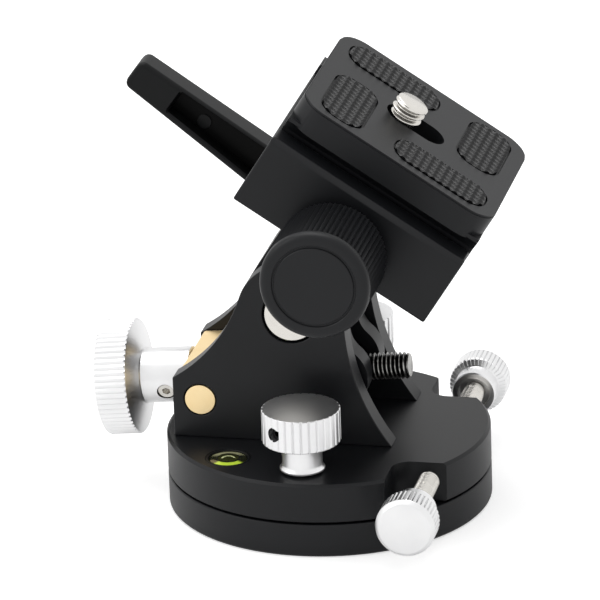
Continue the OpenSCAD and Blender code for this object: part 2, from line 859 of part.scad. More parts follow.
module clamp_bolts() {
    color(steel)
    in_head() clamp_bolt_places()
    difference() {
        union() {
            translate([0, 0, hole_spare]) cylinder(d = clamp_bolt_d, h = clamp_bolt_seat);
            translate([0, 0, clamp_bolt_seat]) cylinder(d = clamp_bolt_head_d, h = clamp_bolt_head_h);
        }
        translate([0, 0, clamp_bolt_seat + clamp_bolt_head_h - clamp_bolt_hex_h])
            cylinder(d = clamp_bolt_hex, h = clamp_bolt_hex_h + over, $fn = 6);
    }
}

module guide_pins() {
    color(steel)
    in_head()
    for (x = [-1, 1])
        translate([x*guide_x, 0, guide_z])
            bar_y(guide_d/2, -clamp_w/2 + guide_wall + hole_spare, split_y + guide_in - hole_spare);
}

module clamp_jaw() {
    color(black_anodised)
    in_head()
    difference() {
        union() {
            slab_x(clamp_l) {
                translate([-clamp_w/2, clamp_bottom])
                    square([clamp_w/2 + split_y - split_gap, channel_floor - clamp_bottom]);
                mirror([1, 0]) jaw_lip_2d();
            }
            translate([0, 0, clamp_screw_z]) bar_y(jaw_lug_r, -clamp_w/2, split_y - split_gap);
        }
        translate([0, 0, clamp_screw_z])
            bar_y(clamp_screw_d/2 + run_fit, -clamp_w/2 - over, split_y + over);
        for (x = [-1, 1])
            translate([x*guide_x, 0, guide_z])
                bar_y(guide_d/2 + run_fit, -clamp_w/2 + guide_wall, split_y + over);
    }
}

module clamp_knob() {
    root_d = clamp_knob_d - 2*flute_depth - 2*flute_step;
    band_d = clamp_knob_d + 2*knob_band_out;
    plain = knob_edge + knob_band;
    color(black_anodised)
    in_head() translate([0, 0, clamp_screw_z])
    difference() {
        union() {
            bar_y(knob_collar_d/2, knob_back, knob_back + knob_collar_l);
            translate([0, knob_back - knob_heel, 0]) rotate([-90, 0, 0])
                cylinder(d1 = root_d, d2 = root_d - 2*knob_heel, h = knob_heel);
            translate([0, knob_face + plain, 0]) rotate([-90, 0, 0])
                fluted_disc(clamp_knob_d, clamp_knob_l - plain - knob_heel, clamp_knob_flutes, flute_depth);
            bar_y(band_d/2, knob_face + knob_edge, knob_face + plain);
            translate([0, knob_face, 0]) rotate([-90, 0, 0])
                cylinder(d1 = band_d - 2*knob_edge, d2 = band_d, h = knob_edge);
        }
        difference() {
            bar_y((knob_ring_d + knob_ring_w)/2, knob_face - over, knob_face + knob_ring_h);
            bar_y((knob_ring_d - knob_ring_w)/2, knob_face - 2*over, knob_face + over);
        }
        bar_y(clamp_screw_d/2 + seat_fit, knob_back - knob_bore, knob_back + knob_collar_l + over);
    }
}

module clamp_screw() {
    color(steel)
    in_head() translate([0, 0, clamp_screw_z])
        bar_y(clamp_screw_d/2, knob_back - knob_bore + hole_spare, split_y + clamp_screw_in);
}

// Ring on the clamp screw that draws the jaw open
module clamp_circlip() {
    color(steel)
    in_head() translate([0, 0, clamp_screw_z])
    difference() {
        bar_y(clamp_screw_d/2 + circlip_w, circlip_y, circlip_y + clip_t);
        bar_y(clamp_screw_d/2 + seat_fit, split_y - split_gap, split_y + over);
    }
}

// Camera plate

module pad_places() {
    for (i = [0 : 3]) rotate(-90*i) translate([-pad_along, pad_across]) children();
}

module camera_plate() {
    color(black_anodised)
    in_head() translate([plate_at, 0, 0])
    difference() {
        union() {
            translate([0, 0, flange_bottom]) linear_extrude(flange_h - fine_chamfer)
                rounded_rect(plate_l, plate_w, plate_corner_r);
            translate([0, 0, plate_top - fine_chamfer]) linear_extrude(fine_chamfer)
                rounded_rect(plate_l - fine_chamfer, plate_w - fine_chamfer,
                             plate_corner_r - fine_chamfer/2);
            slab_x(plate_l) polygon([
                for (side = [-1, 1], p = [
                    [foot_w/2, plate_bottom], [foot_w/2, plate_bottom + foot_edge_h],
                    [neck_half, plate_bottom + foot_edge_h + dovetail_drop], [neck_half, flange_bottom + over]
                ]) [side*p[0], side < 0 ? flange_bottom + over + plate_bottom - p[1] : p[1]]
            ]);
        }
        translate([-plate_at, 0, 0]) {
            translate([0, 0, plate_bottom - over]) linear_extrude(plate_top) slot_2d(cam_slot_l, cam_slot_w);
            translate([0, 0, plate_bottom - over]) linear_extrude(cam_recess_top - plate_bottom + over)
                slot_2d(cam_slot_l - cam_slot_w + cam_head_d + 2*face_gap, cam_head_d + 2*face_gap);
        }
        translate([0, 0, plate_top - pad_sink]) linear_extrude(pad_sink + over)
            pad_places() rounded_rect(pad_l + 2*pad_fit, pad_w + 2*pad_fit, pad_r + pad_fit);
    }
}

module rubber_pads() {
    color(rubber)
    in_head() translate([plate_at, 0, plate_top - pad_sink])
        linear_extrude(pad_sink + pad_out) pad_places() rounded_rect(pad_l, pad_w, pad_r);
}

module camera_clip() {
    color(steel)
    in_head() translate([cam_screw_at, 0, cam_recess_top - slide_gap - clip_t])
    difference() {
        cylinder(d = cam_head_d - 2*face_gap, h = clip_t);
        translate([0, 0, -over]) cylinder(d = cam_neck_d + 2*run_fit, h = clip_t + 2*over);
    }
}

module camera_screw() {
    head_top = cam_recess_top - 2*slide_gap - clip_t;
    end = plate_top + cam_screw_out;
    color(steel)
    in_head() translate([cam_screw_at, 0, 0])
    difference() {
        union() {
            translate([0, 0, head_top - cam_head_h]) cylinder(d = cam_head_d, h = cam_head_h);
            translate([0, 0, head_top]) cylinder(d = cam_neck_d, h = plate_top + cam_thread_up - head_top);
            translate([0, 0, plate_top + cam_thread_up])
                cylinder(d = cam_screw_d, h = cam_screw_out - cam_thread_up - fine_chamfer);
            translate([0, 0, end - fine_chamfer])
                cylinder(d1 = cam_screw_d, d2 = cam_screw_d - 2*fine_chamfer, h = fine_chamfer);
        }
        translate([0, 0, head_top - cam_head_h])
            cube([cam_head_d + over, cam_slit_w, 2*cam_slit_h], center = true);
    }
}

// Altitude screw

module barrel_nut() {
    color(black_oxide)
    translate([nut_x, fork_y, nut_z])
    difference() {
        bar_y(nut_d/2, nut_sink - arm_w/2, arm_w/2 - nut_sink);
        rotate([0, 90 - rod_rise, 0]) linear_extrude(2*nut_d, center = true)
            slot_2d(rod_d + 2*nut_play + 2*run_fit, rod_d + 4*run_fit);
    }
}

module trunnion() {
    color(brass)
    difference() {
        union() {
            on_rod() rotate([90, 0, 0])
                linear_extrude(fork_gap - 2*face_gap, center = true) rounded_rect(block_h, block_l, block_r);
            translate([trunnion_x, 0, trunnion_z]) bar_y(journal_d/2, front_outer, back_outer);
        }
        on_rod() cylinder(d = rod_d + 2*run_fit, h = 2*block_l, center = true);
    }
}

module altitude_rod() {
    color(black_oxide)
    on_rod() {
        translate([0, 0, rod_start]) cylinder(d = rod_d, h = rod_reach - rod_start - fine_chamfer);
        translate([0, 0, rod_reach - fine_chamfer])
            cylinder(d1 = rod_d, d2 = rod_d - 2*fine_chamfer, h = fine_chamfer);
    }
}

module altitude_knob() {
    root_r = alt_knob_d/2 - flute_depth - flute_step;
    color(clear_anodised)
    on_rod()
    difference() {
        union() {
            rotate_extrude() polygon([
                [0, boss_start], [alt_boss_d/2 - fine_chamfer, boss_start],
                [alt_boss_d/2, boss_start - fine_chamfer], [alt_boss_d/2, boss_end],
                [root_r, rim_start], [0, rim_start]
            ]);
            translate([0, 0, rim_end + fine_chamfer])
                fluted_disc(alt_knob_d, alt_rim_w - fine_chamfer, alt_flutes, flute_depth);
            translate([0, 0, rim_end])
                cylinder(r1 = root_r - fine_chamfer, r2 = root_r, h = fine_chamfer);
        }
        translate([0, 0, rod_start - hole_spare]) cylinder(d = rod_d + 2*seat_fit, h = boss_start - rim_end);
        translate([0, 0, alt_grub_at]) grub_axis() cylinder(d = alt_grub_d + 2*seat_fit, h = alt_boss_d);
    }
}

// Radial direction of the grub screw, towards the front and a little down
module grub_axis() {
    rotate([90, 0, 0]) rotate([0, alt_grub_turn, 0]) children();
}

module grub(r0, r1, d) {
    difference() {
        translate([0, 0, r0]) cylinder(d = d, h = r1 - r0);
        translate([0, 0, r1 - grub_hex_h]) cylinder(d = grub_hex_share*d, h = over + grub_hex_h, $fn = 6);
    }
}

module altitude_grub() {
    color(steel)
    on_rod() translate([0, 0, alt_grub_at]) grub_axis()
        grub(rod_d/2 + grub_gap, alt_boss_d/2 - grub_sink/2, alt_grub_d);
}

module rod_collar() {
    color(steel)
    on_rod() translate([0, 0, collar_at])
    difference() {
        cylinder(d = collar_d, h = collar_l);
        translate([0, 0, -over]) cylinder(d = rod_d + 2*seat_fit, h = collar_l + 2*over);
    }
}

// Azimuth screws

module azimuth_tip(side) {
    color(brass)
    on_azimuth(side) translate([0, 0, tip_start]) cylinder(d = screw_d - tip_slack, h = tip_l);
}

module azimuth_screw(side) {
    color(steel)
    on_azimuth(side) translate([0, 0, az_screw_start])
        cylinder(d = screw_d, h = az_reach - knob_skin - hole_spare - az_screw_start);
}

module azimuth_knob(side) {
    color(clear_anodised)
    on_azimuth(side) translate([0, 0, az_knob_at])
    difference() {
        thumb_knob(az_knob_d, az_knob_l, az_neck_l, az_edge, az_flutes);
        translate([0, 0, -over]) cylinder(d = neck_d - 2*neck_wall, h = over + neck_bore_h);
    }
}

module front_azimuth_tip() azimuth_tip(-1);
module back_azimuth_tip() azimuth_tip(1);
module front_azimuth_screw() azimuth_screw(-1);
module back_azimuth_screw() azimuth_screw(1);
module front_azimuth_knob() azimuth_knob(-1);
module back_azimuth_knob() azimuth_knob(1);

// Azimuth locks

module lock_tip(side) {
    color(brass)
    translate([0, lock_y(side), base_h + touch_gap]) cylinder(d = screw_d - tip_slack, h = tip_l);
}

module lock_stud(side) {
    color(steel)
    translate([0, lock_y(side), lock_stud_start])
        cylinder(d = screw_d, h = lock_top - knob_skin - hole_spare - lock_stud_start);
}

module lock_knob(side) {
    color(clear_anodised)
    difference() {
        translate([0, lock_y(side), lock_seat])
            thumb_knob(lock_knob_d, lock_knob_h, lock_neck_l, lock_edge, lock_flutes);
        translate([0, lock_y(side), lock_grub_z]) lock_grub_axis()
            cylinder(d = grub_d + 2*seat_fit, h = lock_knob_d);
    }
}

// Radial direction of the lock knob's grub screw, as drawn
module lock_grub_axis() {
    rotate([0, 0, lock_grub_turn]) rotate([90, 0, 0]) children();
}

module lock_grub(side) {
    color(black_oxide)
    translate([0, lock_y(side), lock_grub_z]) lock_grub_axis()
        grub(screw_d/2 + grub_gap, lock_knob_d/2 - flute_depth - grub_sink, grub_d);
}

module front_lock_tip() lock_tip(-1);
module back_lock_tip() lock_tip(1);
module front_lock_stud() lock_stud(-1);
module back_lock_stud() lock_stud(1);
module front_lock_knob() lock_knob(-1);
module back_lock_knob() lock_knob(1);
module front_lock_grub() lock_grub(-1);
module back_lock_grub() lock_grub(1);

base_plate();
thrust_washer();
retaining_disc();
retaining_screws();
azimuth_post();
turntable();
front_side_plate();
back_side_plate();
side_plate_screws();
tilt_axle();
friction_washers();
lever_washer();
level_cup();
level_vial();
lever_handle();
lever_insert();
lever_screw();
tilt_arm();
clamp_body();
clamp_bolts();
guide_pins();
clamp_jaw();
clamp_knob();
clamp_screw();
clamp_circlip();
camera_plate();
rubber_pads();
camera_clip();
camera_screw();
barrel_nut();
trunnion();
altitude_rod();
altitude_knob();
altitude_grub();
rod_collar();
front_azimuth_tip();
front_azimuth_screw();
front_azimuth_knob();
back_azimuth_tip();
back_azimuth_screw();
back_azimuth_knob();
front_lock_tip();
front_lock_stud();
front_lock_knob();
front_lock_grub();
back_lock_tip();
back_lock_stud();
back_lock_knob();
back_lock_grub();
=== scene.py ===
# Latitude adjustment base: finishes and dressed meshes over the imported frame
import json
import math

import bmesh
import bpy
from mathutils import Matrix, Vector


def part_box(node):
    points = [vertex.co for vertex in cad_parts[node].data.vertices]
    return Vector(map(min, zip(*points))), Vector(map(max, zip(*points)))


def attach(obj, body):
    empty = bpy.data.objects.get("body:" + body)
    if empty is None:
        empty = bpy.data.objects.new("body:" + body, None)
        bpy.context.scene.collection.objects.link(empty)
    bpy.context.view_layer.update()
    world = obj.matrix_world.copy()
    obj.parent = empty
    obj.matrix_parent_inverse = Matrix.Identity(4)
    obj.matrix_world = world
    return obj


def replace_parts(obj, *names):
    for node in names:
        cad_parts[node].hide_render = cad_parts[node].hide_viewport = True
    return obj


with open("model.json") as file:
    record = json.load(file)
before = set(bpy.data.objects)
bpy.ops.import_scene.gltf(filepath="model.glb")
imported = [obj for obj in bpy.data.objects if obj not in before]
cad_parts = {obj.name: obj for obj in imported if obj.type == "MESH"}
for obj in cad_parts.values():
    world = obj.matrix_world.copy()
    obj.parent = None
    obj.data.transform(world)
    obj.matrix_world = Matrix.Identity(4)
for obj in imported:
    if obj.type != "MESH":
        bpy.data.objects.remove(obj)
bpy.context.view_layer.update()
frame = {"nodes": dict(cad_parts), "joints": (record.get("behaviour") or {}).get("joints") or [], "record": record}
joints = {joint["name"]: joint for joint in frame["joints"]}
mm = 0.001


# Places, taken from the joints

def spot(joint):
    return Vector(joints[joint]["pos_m"])


def axisOf(joint):
    return Vector(joints[joint]["axis"])


def placeAt(origin, xAxis, zAxis):
    x, z = xAxis.normalized(), zAxis.normalized()
    place = Matrix((x, z.cross(x), z)).transposed().to_4x4()
    place.translation = origin
    return place @ Matrix.Scale(mm, 4)  # pieces are drawn in millimetres


right, back, up = Vector((1, 0, 0)), Vector((0, 1, 0)), Vector((0, 0, 1))
headPlace = placeAt(spot("tilt"), axisOf("plate_slide"), axisOf("camera_screw_turn"))
rodPlace = placeAt(spot("altitude_turn"), back.cross(axisOf("altitude_turn")), axisOf("altitude_turn"))
clampPlace = placeAt(spot("clamp_turn"), axisOf("plate_slide"), axisOf("clamp_turn"))
boltPlace = placeAt(spot("camera_screw_turn"), axisOf("plate_slide"), axisOf("camera_screw_turn"))
outward = {"front": -back, "back": back}
azPlace = {side: placeAt(spot(side + "_az_turn"), right, outward[side]) for side in outward}
lockPlace = {side: placeAt(spot(side + "_lock_turn"), right, up) for side in outward}
leverAngle = math.radians(36.5)  # how far the lever's arm rises at rest
leverPlace = placeAt(spot("lever_swing"), Vector((-math.cos(leverAngle), 0, math.sin(leverAngle))), -back)


# Materials

def linear(hexColour):
    channels = [int(hexColour[i:i + 2], 16)/255 for i in (1, 3, 5)]
    return [c/12.92 if c <= 0.04045 else ((c + 0.055)/1.055)**2.4 for c in channels] + [1.0]


def addNode(tree, kind, settings=None, links=None):
    node = tree.nodes.new(kind)
    for name, value in (settings or {}).items():
        if isinstance(name, str) and hasattr(node, name):
            setattr(node, name, value)
        else:
            node.inputs[name].default_value = value
    for name, socket in (links or {}).items():
        tree.links.new(socket, node.inputs[name])
    return node


def newMaterial(name, settings):
    material = bpy.data.materials.new(name)
    material.use_nodes = True
    tree = material.node_tree
    shader = tree.nodes["Principled BSDF"]
    for socket, value in settings.items():
        shader.inputs[socket].default_value = value
    return material, tree, shader


def cloudAndMarks(tree, shader, look, coords, marks, reliefMm, cloudDetail=3.0):
    # fine marks set the roughness and the relief, and the colour drifts between two tones
    cloud = addNode(tree, "ShaderNodeTexNoise", {"Scale": 1/(look["cloudMm"]*mm), "Detail": cloudDetail},
                    {"Vector": coords})
    tone = addNode(tree, "ShaderNodeMixRGB", {"Color1": linear(look["dark"]), "Color2": linear(look["pale"])},
                   {"Fac": cloud.outputs["Fac"]})
    rough = addNode(tree, "ShaderNodeMapRange", {"To Min": look["rough"][0], "To Max": look["rough"][1]},
                    {"Value": marks.outputs["Fac"]})
    bump = addNode(tree, "ShaderNodeBump", {"Strength": look["bump"], "Distance": reliefMm*mm},
                   {"Height": marks.outputs["Fac"]})
    tree.links.new(rough.outputs["Result"], shader.inputs["Roughness"])
    tree.links.new(bump.outputs["Normal"], shader.inputs["Normal"])
    return tone.outputs["Color"]


def blackAnodised():
    # bead blasted, then dyed: an even charcoal with a soft grainy sheen
    look = {"dark": "#0f1012", "pale": "#151619", "gritMm": 0.16, "cloudMm": 7, "rough": (0.34, 0.46), "bump": 0.1,
            "gloss": 0.28}
    material, tree, shader = newMaterial("black anodised aluminium", {"Specular IOR Level": look["gloss"]})
    coords = addNode(tree, "ShaderNodeTexCoord").outputs["Object"]
    # grit drawn coarser than the real 0.05 mm, so that it shows in the render
    grit = addNode(tree, "ShaderNodeTexNoise", {"Scale": 1/(look["gritMm"]*mm), "Detail": 2.0}, {"Vector": coords})
    tone = cloudAndMarks(tree, shader, look, coords, grit, reliefMm=0.02)
    tree.links.new(tone, shader.inputs["Base Color"])
    return material


def turnedMetal(name, look):
    # lathe marks: fine rings round the axis that spread the highlights
    material, tree, shader = newMaterial(name, {"Metallic": 1.0})
    coords = addNode(tree, "ShaderNodeTexCoord").outputs["Object"]
    lathe = addNode(tree, "ShaderNodeAttribute", {"attribute_name": "turned"})
    parts = addNode(tree, "ShaderNodeSeparateXYZ", {}, {"Vector": lathe.outputs["Vector"]})
    along = addNode(tree, "ShaderNodeMath", {"operation": "ADD"},
                    {0: parts.outputs["X"], 1: parts.outputs["Y"]})
    ring = addNode(tree, "ShaderNodeMath", {"operation": "MULTIPLY", 1: 1/look["ringMm"]},
                   {0: along.outputs["Value"]})
    marks = addNode(tree, "ShaderNodeTexNoise", {"noise_dimensions": "1D", "Scale": 1.0, "Detail": 2.0},
                    {"W": ring.outputs["Value"]})
    tone = cloudAndMarks(tree, shader, look, coords, marks, reliefMm=0.02, cloudDetail=4.0)
    tree.links.new(tone, shader.inputs["Base Color"])
    return material


def blackOxideSteel():
    # oiled black threads whose crests are rubbed bright
    look = {"root": "#161617", "crest": "#b4b3b0", "rough": 0.34, "wearMm": 0.9, "rubbed": (0.25, 0.55)}
    material, tree, shader = newMaterial("black oxide steel", {"Metallic": 1.0, "Roughness": look["rough"]})
    coords = addNode(tree, "ShaderNodeTexCoord").outputs["Object"]
    crest = addNode(tree, "ShaderNodeAttribute", {"attribute_name": "crest"})
    wear = addNode(tree, "ShaderNodeTexNoise", {"Scale": 1/(look["wearMm"]*mm), "Detail": 3.0}, {"Vector": coords})
    rubbed = addNode(tree, "ShaderNodeMath", {"operation": "MULTIPLY"},
                     {0: crest.outputs["Fac"], 1: wear.outputs["Fac"]})
    share = addNode(tree, "ShaderNodeMapRange", {"From Min": look["rubbed"][0], "From Max": look["rubbed"][1]},
                    {"Value": rubbed.outputs["Value"]})
    tone = addNode(tree, "ShaderNodeMixRGB", {"Color1": linear(look["root"]), "Color2": linear(look["crest"])},
                   {"Fac": share.outputs["Result"]})
    tree.links.new(tone.outputs["Color"], shader.inputs["Base Color"])
    return material


def mouldedPlastic(name, look):
    # injection moulded: a finely sparked skin with a dull gloss; deep recess floors get a painted shade, a darker
    # colour with less gloss
    # colour and gloss of the painted shade on a recess floor
    core = {"colour": "#0a0a0a", "gloss": 0.07}
    material, tree, shader = newMaterial(name, {"IOR": 1.5})
    coords = addNode(tree, "ShaderNodeTexCoord").outputs["Object"]
    spark = addNode(tree, "ShaderNodeTexNoise", {"Scale": 1/(look["sparkMm"]*mm), "Detail": 2.0}, {"Vector": coords})
    skin = cloudAndMarks(tree, shader, look, coords, spark, reliefMm=0.03)
    recessShade = addNode(tree, "ShaderNodeAttribute", {"attribute_name": "core"}).outputs["Fac"]
    tone = addNode(tree, "ShaderNodeMixRGB", {"Color2": linear(core["colour"])}, {"Fac": recessShade, "Color1": skin})
    gloss = addNode(tree, "ShaderNodeMapRange", {"To Min": look["gloss"], "To Max": core["gloss"]}, {"Value": recessShade})
    tree.links.new(tone.outputs["Color"], shader.inputs["Base Color"])
    tree.links.new(gloss.outputs["Result"], shader.inputs["Specular IOR Level"])
    return material


def levelFluid():
    # tinted spirit under clear acrylic, its light and shade painted in: a painted glow gathers in the front of the
    # rim, the far side carries a painted reflection, the flanks and the middle a painted shade, and the bubble's
    # edge a painted highlight
    look = {"deep": "#30330c", "flank": "#1c1f08", "gathered": "#d2f04a", "far": "#b4b389", "glint": "#eaf0b4",
            "ringMm": 2.0, "softMm": 0.05, "rough": 0.12, "coat": 0.6, "coatRough": 0.03}
    material, tree, shader = newMaterial("tinted spirit in acrylic", {
        "Roughness": look["rough"], "Coat Weight": look["coat"], "Coat Roughness": look["coatRough"]})
    lathe = addNode(tree, "ShaderNodeAttribute", {"attribute_name": "turned"})
    parts = addNode(tree, "ShaderNodeSeparateXYZ", {}, {"Vector": lathe.outputs["Vector"]})
    crest = addNode(tree, "ShaderNodeAttribute", {"attribute_name": "crest"})
    # each band's colour, what it goes by, where it starts and where it is full
    bands = (("far", parts.outputs["Z"], 0.3, 0.75), ("gathered", parts.outputs["Z"], -0.55, -0.72),
             ("deep", parts.outputs["X"], look["ringMm"] + look["softMm"], look["ringMm"] - look["softMm"]),
             ("glint", crest.outputs["Fac"], 5.0, 8.0))
    tone = addNode(tree, "ShaderNodeRGB")
    tone.outputs["Color"].default_value = linear(look["flank"])
    for name, value, low, high in bands:
        share = addNode(tree, "ShaderNodeMapRange", {"From Min": low, "From Max": high}, {"Value": value})
        tone = addNode(tree, "ShaderNodeMixRGB", {"Color2": linear(look[name])},
                       {"Fac": share.outputs["Result"], "Color1": tone.outputs["Color"]})
    tree.links.new(tone.outputs["Color"], shader.inputs["Base Color"])
    return material


finishes = {
    "black_anodised": blackAnodised(),
    "clear_anodised": turnedMetal("clear anodised aluminium", {
        "dark": "#e6e6e7", "pale": "#f4f4f4", "ringMm": 0.22, "cloudMm": 5, "rough": (0.26, 0.36), "bump": 0.035}),
    "steel": turnedMetal("nickel plated steel", {
        "dark": "#d4d1cb", "pale": "#e7e4de", "ringMm": 0.18, "cloudMm": 3, "rough": (0.2, 0.3), "bump": 0.03}),
    "black_steel": blackOxideSteel(),
    "brass": turnedMetal("turned brass", {
        "dark": "#f6dba6", "pale": "#fde6b8", "ringMm": 0.2, "cloudMm": 3, "rough": (0.36, 0.5), "bump": 0.04}),
    "rubber": mouldedPlastic("moulded rubber", {
        "dark": "#09090a", "pale": "#0f0f11", "sparkMm": 0.2, "cloudMm": 3, "rough": (0.2, 0.3), "bump": 0.1,
        "gloss": 0.4}),
    "black_plastic": mouldedPlastic("moulded nylon", {
        "dark": "#0e0f10", "pale": "#151617", "sparkMm": 0.22, "cloudMm": 6, "rough": (0.32, 0.44), "bump": 0.12,
        "gloss": 0.16}),
    "polymer": mouldedPlastic("acetal washer", {
        "dark": "#d8d6cf", "pale": "#e8e6df", "sparkMm": 0.3, "cloudMm": 4, "rough": (0.35, 0.45), "bump": 0.08,
        "gloss": 0.5}),
    "level_fluid": levelFluid(),
}
slotOf = {row["node"]: row["material_slot"] for row in frame["record"]["subparts"]}
bodyOf = {node: body for body, nodes in frame["record"]["behaviour"]["bodies"].items() for node in nodes}
for node, cad in frame["nodes"].items():
    cad.data.materials.clear()
    cad.data.materials.append(finishes[slotOf[node]])
print("materials:", ", ".join(m.name for m in finishes.values()))


# Mesh helpers, with lengths in millimetres and angles in degrees
meshing = {"weld": 0.0002, "cadWeld": 0.0005, "flat": 0.5, "edge": 30, "longEdge": 3, "smooth": 35, "cutSmooth": 24,
           "threadSmooth": 60}


def addPiece(name, bm, node, smooth=meshing["smooth"]):
    bmesh.ops.remove_doubles(bm, verts=bm.verts, dist=meshing["weld"]*mm)
    bmesh.ops.recalc_face_normals(bm, faces=bm.faces)
    mesh = bpy.data.meshes.new(name)
    bm.to_mesh(mesh)
    bm.free()
    mesh.shade_smooth()
    mesh.set_sharp_from_angle(angle=math.radians(smooth))
    piece = bpy.data.objects.new(name, mesh)
    bpy.context.scene.collection.objects.link(piece)
    slot = slotOf[node]
    mesh.materials.append(finishes[slot])
    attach(piece, bodyOf[node])
    return piece


def evenFlats(piece):
    # keeps the flats even beside their rounded edges
    level = piece.modifiers.new("flat faces", "WEIGHTED_NORMAL")
    level.keep_sharp = True


def dressed(node, name, edge, rounding):
    # the CAD solid with its edges broken, as a machinist or a mould leaves them
    bm = bmesh.new()
    bm.from_mesh(frame["nodes"][node].data)
    bmesh.ops.remove_doubles(bm, verts=bm.verts, dist=meshing["cadWeld"]*mm)
    bmesh.ops.dissolve_limit(bm, angle_limit=math.radians(meshing["flat"]), verts=bm.verts, edges=bm.edges)
    corner = math.radians(meshing["edge"])

    def breakEdges(width, steps, chosen):
        edges = [e for e in bm.edges if len(e.link_faces) == 2 and e.calc_face_angle() > corner]
        bmesh.ops.bevel(bm, geom=[e for e in edges if chosen(e)], offset=width*mm, segments=steps, profile=0.5,
                        affect="EDGES", clamp_overlap=True)

    if rounding:  # long outer edges
        breakEdges(rounding, steps=5, chosen=lambda e: e.is_convex and e.calc_length() > meshing["longEdge"]*mm)
    if edge:
        breakEdges(edge, steps=3, chosen=lambda e: True)
    piece = addPiece(name, bm, node)
    evenFlats(piece)
    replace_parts(piece, node)
    return piece


def dense(points, step):
    result = [points[0]]
    for a, b in zip(points, points[1:]):
        count = max(1, math.ceil(math.dist(a, b)/step))
        result += [tuple(Vector(a).lerp(Vector(b), (i + 1)/count)) for i in range(count)]
    return result


def turn(profile, place, segments, limit=None):
    # revolves (radius, height) points; limit gives the largest radius at an angle and height
    bm = bmesh.new()
    lathe = bm.verts.layers.float_vector.new("turned")
    crest = bm.verts.layers.float.new("crest")
    rings = []
    for radius, height in profile:
        ring = []
        for i in range(segments if radius > 1e-6 else 1):
            angle = 2*math.pi*i/segments
            r = min(radius, limit(angle, height)) if limit else radius
            vert = bm.verts.new(place @ Vector((r*math.cos(angle), r*math.sin(angle), height)))
            vert[lathe] = (r, height, math.sin(angle))
            vert[crest] = r
            ring.append(vert)
        rings.append(ring)
    for low, high in zip(rings, rings[1:]):
        for i in range(segments):
            j = (i + 1) % segments
            corners = [low[i % len(low)], low[j % len(low)], high[j % len(high)], high[i % len(high)]]
            corners = list(dict.fromkeys(corners))
            if len(corners) > 2:
                bm.faces.new(corners)
    return bm


def flutes(knob):
    # straight V grooves round a knob's rim, between two heights
    def limit(angle, height):
        if not knob["span"][0] <= height <= knob["span"][1]:
            return math.inf
        phase = (angle*knob["flutes"]/(2*math.pi)) % 1
        groove = max(0.0, 1 - abs(2*phase - 1)/knob["grooveShare"])
        return knob["d"]/2 - knob["fluteDepth"]*groove
    return limit


def helix(thread):
    # a single start thread with flat crests and roots that runs out at both ends
    def limit(angle, height):
        phase = (height/thread["pitch"] - angle/(2*math.pi)) % 1
        groove = min(1.0, max(0.0, (abs(2*phase - 1) - thread["crestShare"])/thread["flankShare"]))
        room = min(height - thread["span"][0], thread["span"][1] - height)/thread["runOut"]
        return thread["d"]/2 - thread["depth"]*groove*min(1.0, max(0.0, room))
    return limit


def fluted(name, node, place, knob):
    profile = [point for stretch in knob["profile"].values() for point in stretch]
    bm = turn(profile, place, knob["flutes"]*knob["perFlute"], flutes(knob))
    piece = addPiece(name, bm, node, meshing["cutSmooth"])
    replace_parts(piece, node)
    return piece


def threaded(name, node, place, thread):
    profile = thread["head"] + dense(thread["screw"], thread["step"]) + thread["end"]
    bm = turn(profile, place, thread["segments"], helix(thread))
    piece = addPiece(name, bm, node, meshing["threadSmooth"])
    root = thread["d"]/2 - thread["depth"]
    bareFrom, bright = thread.get("bareFrom", math.inf), 2.0
    lathe = piece.data.attributes["turned"].data
    for crest, turned in zip(piece.data.attributes["crest"].data, lathe):  # 0 at the root, 1 at the crest
        share = min(1.0, max(0.0, (crest.value - root)/thread["depth"]))
        crest.value = bright if turned.vector[1] > bareFrom else share
    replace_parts(piece, node)


def carve(piece, bm, operation):
    # cuts a finished mesh with a second one, or keeps what both share
    bmesh.ops.recalc_face_normals(bm, faces=bm.faces)
    mesh = bpy.data.meshes.new("cutter")
    bm.to_mesh(mesh)
    bm.free()
    cutter = bpy.data.objects.new("cutter", mesh)
    bpy.context.scene.collection.objects.link(cutter)
    modifier = piece.modifiers.new("cut", "BOOLEAN")
    modifier.operation, modifier.object, modifier.solver = operation, cutter, "EXACT"
    result = bpy.data.meshes.new_from_object(piece.evaluated_get(bpy.context.evaluated_depsgraph_get()))
    piece.modifiers.clear()
    old, piece.data = piece.data, result
    result.name = old.name + "Cut"
    result.set_sharp_from_angle(angle=math.radians(meshing["cutSmooth"]))
    bpy.data.meshes.remove(old)
    bpy.data.objects.remove(cutter)
    bpy.data.meshes.remove(mesh)


def drillGrub(piece, place, knob):
    # the hole of a knob's grub screw
    r, depth = knob["grubD"]/2, knob["grubDepth"]
    towards = Vector(knob["grubTowards"]).to_track_quat("Z", "X").to_matrix().to_4x4()
    aim = Matrix.Translation((0, 0, knob["grubAt"])) @ towards
    bit = turn([(0, 0), (r, 0), (r, depth), (0, depth)], place @ aim, segments=48)
    carve(piece, bit, "DIFFERENCE")


def roundedRim(halfX, halfY, radii, stepDeg):
    # points round a rectangle whose four corners are arcs, anticlockwise from its right side
    points = []
    for (sx, sy, start), r in zip(((1, 1, 0), (-1, 1, 90), (-1, -1, 180), (1, -1, 270)), radii):
        for angle in range(start, start + 91, stepDeg):
            a = math.radians(angle)
            points.append((sx*(halfX - r) + r*math.cos(a), sy*(halfY - r) + r*math.sin(a)))
    return points


def loft(bm, rings):
    for near, far in zip(rings, rings[1:]):
        for i in range(len(near)):
            j = (i + 1) % len(near)
            bm.faces.new((near[i], near[j], far[j], far[i]))
    bm.faces.new(rings[0])
    bm.faces.new(rings[-1])


